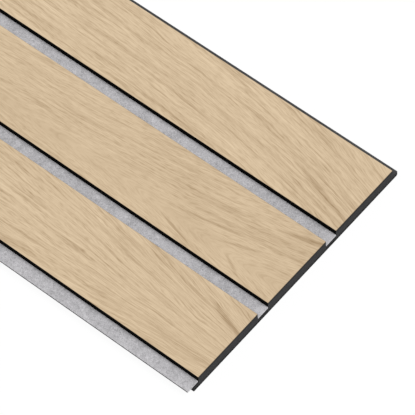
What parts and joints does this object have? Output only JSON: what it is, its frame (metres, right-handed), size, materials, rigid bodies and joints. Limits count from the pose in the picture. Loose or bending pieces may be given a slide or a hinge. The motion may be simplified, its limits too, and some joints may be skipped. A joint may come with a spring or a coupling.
{
  "type": "acoustic slat wall panel",
  "caption": "Long flat wall panel of dark fibreboard, milled into wide oak-faced slats, with grey felt in the grooves and a half-lap lip along one long edge.",
  "frame": {"origin": "middle of the panel's flat back, half way along and across its overall size", "axes": "+X along the slats, +Y across them towards the lip, +Z out of the wall towards the oak faces"},
  "size_m": [2.4, 0.3074, 0.016],
  "materials": {
    "fibreboard": "through-dyed dark fibreboard, sawn at the ends, with matt black lacquer in the grooves",
    "oak": "pale oak veneer with a matt clear finish, grain along the slat",
    "felt": "light grey pressed polyester felt"
  },
  "bodies": {
    "root": {"core_board": "fibreboard", "oak_face_1": "oak", "oak_face_2": "oak", "oak_face_3": "oak", "felt_strip_1": "felt", "felt_strip_2": "felt", "felt_strip_3": "felt"}
  },
  "joints": []
}
